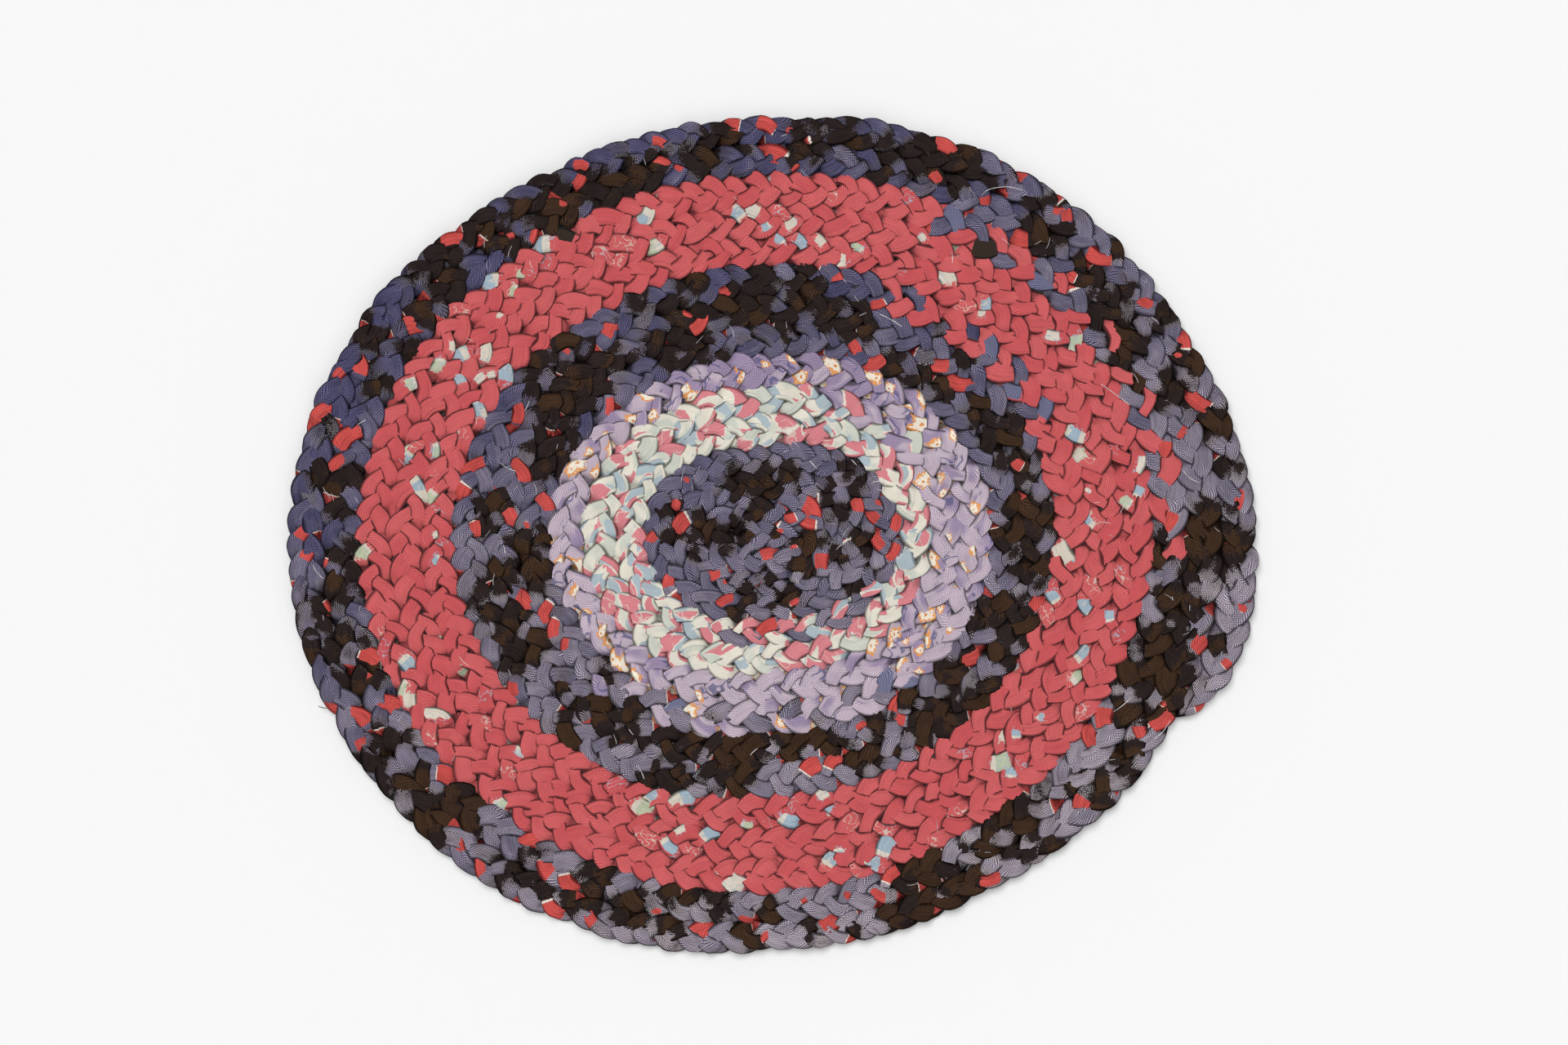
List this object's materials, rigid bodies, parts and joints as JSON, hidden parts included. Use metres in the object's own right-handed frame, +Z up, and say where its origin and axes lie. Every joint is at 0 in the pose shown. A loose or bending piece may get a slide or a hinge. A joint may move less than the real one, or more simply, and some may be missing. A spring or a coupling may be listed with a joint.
{
  "type": "oval braided rag rug",
  "caption": "Small oval rug coiled from one long flat braid of cloth strips in changing colours, laced round to round, with a rounded lobed edge and a tapered tail.",
  "frame": {"origin": "centre of the rug's bounding box, on the flat underside", "axes": "+X along the longer side of the oval, +Y along the shorter side, +Z up from the underside"},
  "size_m": [0.3196, 0.2758, 0.0062],
  "materials": {
    "plaid_centre": "matte plain-woven cotton, blue-grey with brown-black and red",
    "cream_print": "matte plain-woven cotton, cream printed with rose and light blue",
    "lavender_print": "matte plain-woven cotton, lavender with small flowers",
    "plaid_middle": "matte brushed cotton, brown-black and blue-grey with red",
    "red": "matte plain-woven cotton, rose red with scattered pale marks",
    "plaid_outer": "matte brushed cotton, brown-black and blue-grey with red"
  },
  "bodies": {
    "root": {"plaid_centre_coil": "plaid_centre", "cream_print_coil": "cream_print", "lavender_print_coil": "lavender_print", "plaid_middle_coil": "plaid_middle", "red_coil": "red", "plaid_outer_coil": "plaid_outer"}
  },
  "joints": []
}
